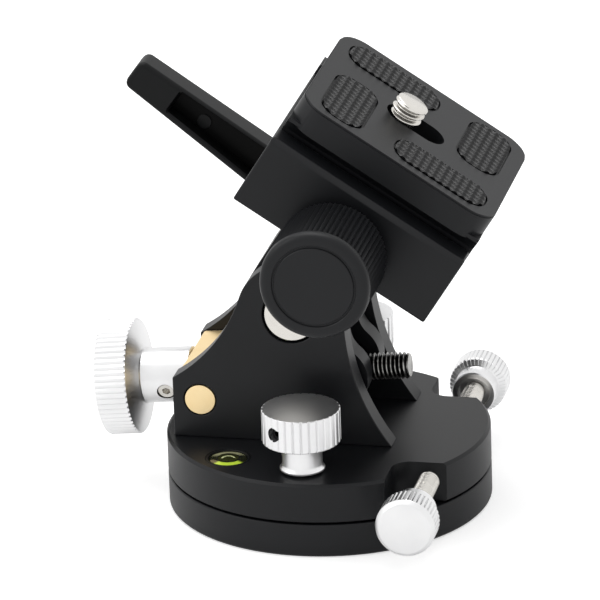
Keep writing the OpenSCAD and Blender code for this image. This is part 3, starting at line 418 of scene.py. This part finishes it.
# Machined plates and blocks, with the widths of their broken edges; the lever's are rounded further on
broken = {"base_plate": 0.25, "turntable": 0.3, "front_side_plate": 0.22, "back_side_plate": 0.22,
          "tilt_arm": 0.2, "clamp_body": 0.25, "clamp_jaw": 0.25, "camera_plate": 0.25, "lever_handle": None,
          "trunnion": 0.15, "tilt_axle": 0.25, "level_cup": 0.2, "barrel_nut": 0.15, "rod_collar": 0.2,
          "lever_washer": 0.12, "lever_screw": 0.12, "camera_clip": 0.08, "retaining_disc": 0.15}
rounded = {"clamp_body": 0.6, "clamp_jaw": 0.8}
pieces = {}
for node, width in broken.items():
    name = "".join(word.capitalize() if i else word for i, word in enumerate(node.split("_")))
    pieces[node] = dressed(node, name, width, rounded.get(node))


def slimJournals(piece):
    # leaves the dark ring of clearance that shows round each journal in its side plate
    journal = {"r": 3.0, "from": 9.3, "slack": 0.14, "wallFrom": 0.8}
    middle = spot("trunnion_swivel")
    for vert in piece.data.vertices:
        offset = vert.co - middle
        across = Vector((offset.x, 0, offset.z))
        if abs(offset.y) > journal["from"]*mm and across.length > journal["wallFrom"]*journal["r"]*mm:
            vert.co -= across.normalized()*journal["slack"]*mm


lever = {"root": 5.0, "tip": 3.1, "shoulder": 48.0, "corner": 1.5, "front": -32.5, "back": -38.5, "floor": -36.12}


def halfHeight(x):
    return lever["root"] + (lever["tip"] - lever["root"])*x/lever["shoulder"]


def roundLever(piece):
    # the arm's outer edges as the mould rounds them, fading out towards the hub
    arm = {**lever, "edge": 0.6, "upperEdge": 1.0, "skin": 0.01, "from": 7.0, "fade": 4.0, "least": 0.1, "gap": 0.02,
           "clear": 30.0}
    end = arm["shoulder"] + arm["corner"]
    bm = bmesh.new()

    def section(x, half, front, rear, share):
        radii = [share*r for r in (arm["edge"], arm["upperEdge"], arm["edge"], arm["edge"])]
        rim = roundedRim(half, (front - rear)/2, radii, stepDeg=15)
        return [bm.verts.new(leverPlace @ Vector((x, y, (front + rear)/2 + z))) for y, z in rim]

    def armAt(x):
        half = halfHeight(x)
        if x > arm["shoulder"]:
            half = arm["tip"] - arm["corner"] + math.sqrt(max(0, arm["corner"]**2 - (x - arm["shoulder"])**2))
        late = max(0, x - end + arm["edge"])
        inset = arm["skin"] + arm["edge"] - math.sqrt(max(0, arm["edge"]**2 - late**2))
        share = min(1, max(arm["least"], (x - arm["from"])/arm["fade"]))
        return section(x, half - arm["skin"], arm["front"] - inset, arm["back"] + inset, share)

    hub = (arm["clear"], arm["clear"], -2*arm["clear"], 1)  # large enough to leave the hub whole
    rings = [section(-arm["clear"], *hub), section(arm["from"] - arm["gap"], *hub)]
    along = [arm["from"] + arm["fade"]*i/4 for i in range(5)] + [arm["shoulder"] - arm["gap"]]
    along += [arm["shoulder"] + arm["corner"]*math.sin(math.radians(7.5*i)) for i in range(13)]
    rings += [armAt(x) for x in along]
    loft(bm, rings)
    piece.modifiers.clear()
    carve(piece, bm, "INTERSECT")


def draftRecess(piece):
    # the recess widens towards its rim, as a mould's core has to, and the rim's inner edge is broken
    core = {"from": 12.0, "to": 39.6, "wall": 1.0, "rise": 0.3, "above": 0.2, "below": 0.05, "end": 0.25, "r": 0.7,
            "proud": 0.05, "skin": 0.01, "break": 0.3}
    bm = bmesh.new()

    def outline(z, share, extra=0):
        above, below, end = (core["skin"] + core[side]*share + extra for side in ("above", "below", "end"))

        def edges(x):
            half = halfHeight(x) - core["wall"]
            return -half - core["rise"] - above, half - core["rise"] + below

        start, stop, r = core["from"] - end, core["to"] + end, core["r"]
        high, low = edges(stop)
        points = [(start, edges(start)[0]), (start, edges(start)[1])]
        turns = [math.radians(18*i) for i in range(6)]
        points += [(stop - r + r*math.sin(a), low - r + r*math.cos(a)) for a in turns]
        points += [(stop - r + r*math.cos(a), high + r - r*math.sin(a)) for a in turns]
        return [bm.verts.new(leverPlace @ Vector((x, y, z))) for x, y in points]

    loft(bm, [outline(lever["floor"], 0), outline(lever["front"] - core["break"], 1),
              outline(lever["front"] + core["proud"], 1, core["break"] + core["proud"])])
    carve(piece, bm, "DIFFERENCE")
    # marks the recess floor, where the nylon gets its painted shade
    depth = piece.data.attributes.new("core", "FLOAT", "POINT").data
    toLever = leverPlace.inverted()
    for vert in piece.data.vertices:
        depth[vert.index].value = 1.0 if abs((toLever @ vert.co).z - lever["floor"]) < core["proud"] else 0.0


slimJournals(pieces["trunnion"])
roundLever(pieces["lever_handle"])
draftRecess(pieces["lever_handle"])
evenFlats(pieces["lever_handle"])
print("dressed:", len(broken), "solids")


# Knobs, turned in one piece and grooved
altitudeKnob = {
    "d": 21.6, "flutes": 60, "perFlute": 8, "grooveShare": 0.8, "fluteDepth": 0.3, "span": (-20.85, -14.75),
    "grubAt": -8.9, "grubTowards": (0.342, -0.94, 0), "grubD": 3.4, "grubDepth": 8,
    "profile": {"bore": [(0, -19.35), (2.52, -19.35), (2.52, -4.25)],
                "boss": [(4.8, -4.25), (5.08, -4.36), (5.15, -4.6), (5.15, -13.4)],
                "flare": [(5.3, -13.58), (10.25, -14.7)],
                "rim": [(10.6, -14.82), (10.8, -15.05), (10.8, -20.4), (10.7, -20.7), (10.45, -20.85)],
                "face": [(9.4, -20.85), (9.1, -20.6), (0, -20.6)]}}
drillGrub(fluted("altitudeKnob", "altitude_knob", rodPlace, altitudeKnob), rodPlace, altitudeKnob)

lockKnob = {
    "d": 14.4, "flutes": 30, "perFlute": 16, "grooveShare": 0.36, "fluteDepth": 0.34, "span": (5.9, 12.2),
    "grubAt": 9.05, "grubTowards": (-0.545, -0.839, 0), "grubD": 2.66, "grubDepth": 10,
    "profile": {"bore": [(0, 10.7), (2.02, 10.7), (2.02, 0.3)],
                "foot": [(3.9, 0.3), (4.15, 0.5), (4.15, 0.75)],
                "neck": [(3.85, 1.1), (3.7, 1.6), (3.7, 4.6), (3.8, 5.3), (4.05, 5.75), (4.3, 5.9)],
                "rim": [(6.95, 5.9), (7.2, 6.1), (7.2, 12.08), (7.08, 12.2)],
                "face": [(0, 12.2)]}}
for side in outward:
    knob = fluted(side + "LockKnob", side + "_lock_knob", lockPlace[side], lockKnob)
    drillGrub(knob, lockPlace[side], lockKnob)

azimuthKnob = {
    "d": 11, "flutes": 40, "perFlute": 12, "grooveShare": 0.42, "fluteDepth": 0.42, "span": (31.8, 36.2),
    "profile": {"bore": [(0, 36.2), (2.02, 36.2), (2.02, 29.3), (2.95, 29.3), (2.95, 28.2)],
                "boss": [(3.05, 28.1), (3.95, 28.1), (4.15, 28.3), (4.15, 31.6)],
                "flare": [(4.35, 31.75), (5.3, 32.3)],
                "rim": [(5.5, 32.6), (5.5, 36.84), (5.42, 37.0)],
                "face": [(4.8, 37.58), (4.45, 37.7), (0, 37.7)]}}
for side in outward:
    fluted(side + "AzimuthKnob", side + "_azimuth_knob", azPlace[side], azimuthKnob)

clampKnob = {
    "d": 20, "flutes": 64, "perFlute": 8, "grooveShare": 0.9, "fluteDepth": 0.6, "span": (25.5, 40.45),
    "profile": {"bore": [(0, 34.55), (2.52, 34.55), (2.52, 23.35)],
                "boss": [(5.3, 23.35), (5.5, 23.55), (5.5, 24.55)],
                "grip": [(8.6, 24.55), (9.6, 25.3), (10, 25.75), (10, 40.44)],
                "bead": [(10.05, 40.46), (10.05, 40.95), (9.97, 41.4), (9.75, 41.8), (9.4, 42.08), (8.95, 42.22),
                         (8.5, 42.25)],
                "groove": [(7.85, 42.25), (7.68, 42.12), (7.6, 41.9), (7.35, 41.9), (7.27, 42.12), (7.1, 42.25)],
                "face": [(0, 42.25)]}}
fluted("clampKnob", "clamp_knob", clampPlace, clampKnob)
print("knobs: 6 turned and grooved")


# Threads
altitudeThread = {
    "d": 5, "pitch": 0.8, "depth": 0.46, "crestShare": 0.16, "flankShare": 0.7, "span": (6, 38), "runOut": 1.2,
    "segments": 48, "bareFrom": 36.65, "step": 0.1,
    "head": [], "screw": [(0, -19.05), (2.5, -19.05), (2.5, 6), (2.5, 36.6)], "end": [(2.1, 37), (0, 37)]}
threaded("altitudeRod", "altitude_rod", rodPlace, altitudeThread)

azimuthThread = {
    "d": 4, "pitch": 0.7, "depth": 0.34, "crestShare": 0.25, "flankShare": 0.6, "span": (7, 30), "runOut": 1,
    "segments": 40, "step": 0.0875,
    "head": [(0, 5.52)], "screw": [(2, 5.52), (2, 7), (2, 30)], "end": [(2, 35.9), (0, 35.9)]}
for side in outward:
    threaded(side + "AzimuthScrew", side + "_azimuth_screw", azPlace[side], azimuthThread)

cameraThread = {
    "d": 6.35, "pitch": 1.27, "depth": 0.74, "crestShare": 0.1, "flankShare": 0.68, "span": (-0.2, 3.3),
    "runOut": 0.4, "segments": 72, "step": 0.08,
    "head": [(0, -9.7), (5.3, -9.7), (5.5, -9.5), (5.5, -7.1), (5.3, -6.9), (2.43, -6.9), (2.43, 0.28)],
    "screw": [(3.175, 0.3), (3.175, 3.05)], "end": [(3.12, 3.2), (2.8, 3.4), (0, 3.4)]}
threaded("cameraScrew", "camera_screw", boltPlace, cameraThread)
print("threads: rod, azimuth screws and camera screw")


# Rubber pads, covered with columns of small rounded ribs that the pad's outline cuts off
def addPads():
    pads = {"l": 19.0, "w": 8.5, "r": 3.6, "top": 39.7, "sink": 0.6, "valley": -0.02, "saddle": 0.04,
            "peak": 0.43, "pitch": 1.58, "shoulder": 0.42, "skirt": 0.2, "above": 1.0, "perRib": 8,
            "shoulders": (0, 0.07, 0.15, 0.27, 0.42, 0.58, 0.73, 0.85, 0.93)}
    # the middle of each pad, with its ribs across and along
    centres = [((-7.65, 12.7), (14, 8)), ((13.05, 8), (8, 14)), ((8.35, -12.7), (14, 8)), ((-12.35, -8), (8, 14))]

    def close(bm, rim, drop):
        # walls down from a closed row of points, and a floor
        foot = [bm.verts.new(headPlace @ (headPlace.inverted() @ v.co - Vector((0, 0, drop)))) for v in rim]
        bm.faces.new(foot[::-1])
        for i in range(len(rim)):
            j = (i + 1) % len(rim)
            bm.faces.new((foot[i], foot[j], rim[j], rim[i]))

    def addRibs(bm, middle, counts):
        m, n = counts
        across = [i + u for i in range(m) for u in pads["shoulders"]] + [m]
        along = [j/pads["perRib"] for j in range(pads["perRib"]*n + 1)]

        def height(u, v):
            if u in (0, m) or v in (0, n):
                return pads["valley"]
            crown = pads["saddle"] + (pads["peak"] - pads["saddle"])*(0.5 - 0.5*math.cos(2*math.pi*v))
            room = min(u % 1, 1 - u % 1)/pads["shoulder"]
            return pads["valley"] + (crown - pads["valley"])*math.sin(math.pi/2*min(1, room))

        def at(u, v):
            x, y = (u - m/2)*pads["pitch"] + middle[0], (v - n/2)*pads["pitch"] + middle[1]
            return bm.verts.new(headPlace @ Vector((x, y, pads["top"] + height(u, v))))

        grid = [[at(u, v) for v in along] for u in across]
        p, q = len(across) - 1, len(along) - 1
        for i in range(p):
            for j in range(q):
                bm.faces.new((grid[i][j], grid[i + 1][j], grid[i + 1][j + 1], grid[i][j + 1]))
        rim = [grid[i][0] for i in range(p)] + [grid[p][j] for j in range(q)]
        rim += [grid[i][q] for i in range(p, 0, -1)] + [grid[0][j] for j in range(q, 0, -1)]
        close(bm, rim, pads["sink"] + pads["valley"] + pads["skirt"])

    def addOutline(bm, middle, counts):
        l, w = (pads["l"], pads["w"]) if counts[0] > counts[1] else (pads["w"], pads["l"])
        rim = [bm.verts.new(headPlace @ Vector((middle[0] + x, middle[1] + y, pads["top"] + pads["above"])))
               for x, y in roundedRim(l/2, w/2, [pads["r"]]*4, stepDeg=10)]
        bm.faces.new(rim)
        close(bm, rim, pads["sink"] + pads["above"])

    sheet, outline = bmesh.new(), bmesh.new()
    for middle, counts in centres:
        addRibs(sheet, middle, counts)
        addOutline(outline, middle, counts)
    bmesh.ops.triangulate(sheet, faces=sheet.faces)  # flat faces, which the outline cuts cleanly
    piece = addPiece("rubberPads", sheet, "rubber_pads")
    carve(piece, outline, "INTERSECT")
    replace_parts(piece, "rubber_pads")
    print("pads: 4 with ribs,", len(piece.data.polygons), "faces")


addPads()


# Bubble level: tinted vial with painted light and shade, printed ring, and bubble with a painted highlight
def addLevel():
    vial = {"r": 3.56, "floor": -3.65, "edge": -0.36, "rise": 0.34, "ring": (1.95, 2.2), "ringProud": 0.015,
            "bubble": (0.95, 1.3), "bubbleProud": 0.012, "bubbleAt": (0.0, -0.3), "sunk": 0.02, "facing": 12.75,
            "litFrom": 0.1, "lit": 9.0}
    low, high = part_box("level_vial")
    seat = (Vector(low) + Vector(high))/2
    # the vial is turned so that its painted light faces the camera's side
    facing = math.radians(vial["facing"])
    place = placeAt(Vector((seat.x, seat.y, high[2])), Vector((math.cos(facing), math.sin(facing), 0)), up)
    turns = [math.pi/2*i/12 for i in range(12, -1, -1)]
    dome = [(vial["r"]*math.sin(a), vial["edge"] + vial["rise"]*math.cos(a)) for a in turns]
    bm = turn([(0, vial["floor"]), (vial["r"], vial["floor"])] + dome, place, segments=64)
    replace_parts(addPiece("levelVial", bm, "level_vial"), "level_vial")

    def onDome(radii, proud):
        # the section of a flat ring that stands a little proud of the dome
        def at(r, lift):
            return r, vial["edge"] + vial["rise"]*math.sqrt(max(0.0, 1 - (r/vial["r"])**2)) + lift

        inner, outer = radii
        foot = at(inner, -vial["sunk"])
        return [foot, at(inner, proud), at(outer, proud), at(outer, -vial["sunk"]), foot]

    addPiece("levelRing", turn(onDome(vial["ring"], vial["ringProud"]), place, segments=64), "level_cup")
    aside = place @ Matrix.Translation((*vial["bubbleAt"], 0))
    lip = onDome(vial["bubble"], vial["bubbleProud"])
    bubble = addPiece("levelBubble", turn(lip, aside, segments=48), "level_vial")
    # the crest value paints a highlight on the far half of the bubble's edge
    lathe = bubble.data.attributes["turned"].data
    for crest, turned in zip(bubble.data.attributes["crest"].data, lathe):  # lights the far half of its edge
        crest.value = vial["lit"] if turned.vector[2] > vial["litFrom"] else 0.0
    print("level: vial, ring and bubble")


addLevel()


# Round mark that the mould's ejector pin left in the lever's recess
def addMark():
    mark = {"along": 32.9, "across": 0.75, "floor": -36.1, "r": 1.45, "rise": 0.18, "sunk": 0.2, "edge": 0.12}
    place = leverPlace @ Matrix.Translation((mark["along"], mark["across"], mark["floor"]))
    r, rise, sunk = mark["r"], mark["rise"], mark["sunk"]
    profile = [(0, -sunk), (r, -sunk), (r, rise/2), (r - mark["edge"], rise), (0, rise)]
    addPiece("leverMark", turn(profile, place, segments=48), "lever_handle")
    print("lever: ejector mark")


addMark()


# Camera, floor and light
def addCamera():
    camera = {"azimuth": 12.75, "elevation": 21.38, "roll": 1.81, "distance": 1.198, "focalPx": 6504, "framePx": 600,
              "target": (0.0, 0.0, 0.032), "targetPx": (326.0, 333.5), "sensor": 36.0, "clip": (0.01, 100)}
    a, e, r = (math.radians(camera[k]) for k in ("azimuth", "elevation", "roll"))
    backward = Vector((math.sin(a)*math.cos(e), -math.cos(a)*math.cos(e), math.sin(e)))
    level = Vector((math.cos(a), math.sin(a), 0))
    upright = backward.cross(level)
    sideways = level*math.cos(r) - upright*math.sin(r)
    upward = level*math.sin(r) + upright*math.cos(r)
    perPx = camera["distance"]/camera["focalPx"]
    middle = camera["framePx"]/2
    seat = Vector(camera["target"]) + backward*camera["distance"]
    aim = (Vector(camera["target"]) - sideways*(camera["targetPx"][0] - middle)*perPx
           + upward*(camera["targetPx"][1] - middle)*perPx)
    backward = (seat - aim).normalized()
    sideways = (sideways - backward*sideways.dot(backward)).normalized()
    data = bpy.data.cameras.new("camera")
    data.sensor_width = camera["sensor"]
    data.lens = camera["sensor"]*camera["focalPx"]/camera["framePx"]
    data.clip_start, data.clip_end = camera["clip"]
    view = bpy.data.objects.new("camera", data)
    view.matrix_world = Matrix((sideways, backward.cross(sideways), backward)).transposed().to_4x4()
    view.location = seat
    bpy.context.scene.collection.objects.link(view)
    bpy.context.scene.camera = view


def addFloor():
    # white paper without gloss, lifted to white where the camera sees it and a little in mirrors
    look = {"sheet": "#f4f4f4", "sizeM": 30, "lift": 0.5, "mirrored": 0.15, "rough": 0.9, "gloss": 0.1}
    mesh = bpy.data.meshes.new("floor")
    half = look["sizeM"]/2
    mesh.from_pydata([(-half, -half, 0), (half, -half, 0), (half, half, 0), (-half, half, 0)], [], [(0, 1, 2, 3)])
    floor = bpy.data.objects.new("floor", mesh)
    bpy.context.scene.collection.objects.link(floor)
    material, tree, shader = newMaterial("paper sweep", {
        "Base Color": linear(look["sheet"]), "Roughness": look["rough"], "Specular IOR Level": look["gloss"],
        "Emission Color": (1, 1, 1, 1)})
    path = addNode(tree, "ShaderNodeLightPath")
    mirrored = addNode(tree, "ShaderNodeMath", {"operation": "MULTIPLY", 1: look["mirrored"]},
                       {0: path.outputs["Is Glossy Ray"]})
    seen = addNode(tree, "ShaderNodeMath", {"operation": "MULTIPLY_ADD", 1: look["lift"]},
                   {0: path.outputs["Is Camera Ray"], 2: mirrored.outputs["Value"]})
    tree.links.new(seen.outputs["Value"], shader.inputs["Emission Strength"])
    mesh.materials.append(material)


def addLight():
    # an even white room, dimmer on the object than where it is seen or mirrored, and two soft lamps
    studio = {"onObject": 0.7, "seen": 1.0, "aim": (0, 0, 0.03)}
    lamps = {"top": {"watts": 2.4, "size": 0.6, "seat": (-0.15, 0.1, 0.8)},
             "left": {"watts": 1.2, "size": 0.5, "seat": (-0.7, -0.4, 0.5)}}
    world = bpy.data.worlds.new("studio")
    bpy.context.scene.world = world
    world.use_nodes = True
    tree = world.node_tree
    path = addNode(tree, "ShaderNodeLightPath")
    seen = addNode(tree, "ShaderNodeMath", {"operation": "MAXIMUM"},
                   {0: path.outputs["Is Camera Ray"], 1: path.outputs["Is Glossy Ray"]})
    clear = addNode(tree, "ShaderNodeMath", {"operation": "MAXIMUM"},
                    {0: seen.outputs["Value"], 1: path.outputs["Is Transmission Ray"]})
    level = addNode(tree, "ShaderNodeMapRange", {"To Min": studio["onObject"], "To Max": studio["seen"]},
                    {"Value": clear.outputs["Value"]})
    background = tree.nodes["Background"]
    background.inputs["Color"].default_value = (1, 1, 1, 1)
    tree.links.new(level.outputs["Result"], background.inputs["Strength"])
    for name, lamp in lamps.items():
        data = bpy.data.lights.new(name, "AREA")
        data.energy, data.size = lamp["watts"], lamp["size"]
        holder = bpy.data.objects.new(name, data)
        holder.location = lamp["seat"]
        holder.rotation_euler = (Vector(studio["aim"]) - holder.location).to_track_quat("-Z", "Y").to_euler()
        bpy.context.scene.collection.objects.link(holder)


addCamera()
addFloor()
addLight()
bpy.context.scene.view_settings.view_transform = "Standard"
print("stage: camera, floor and lamps")
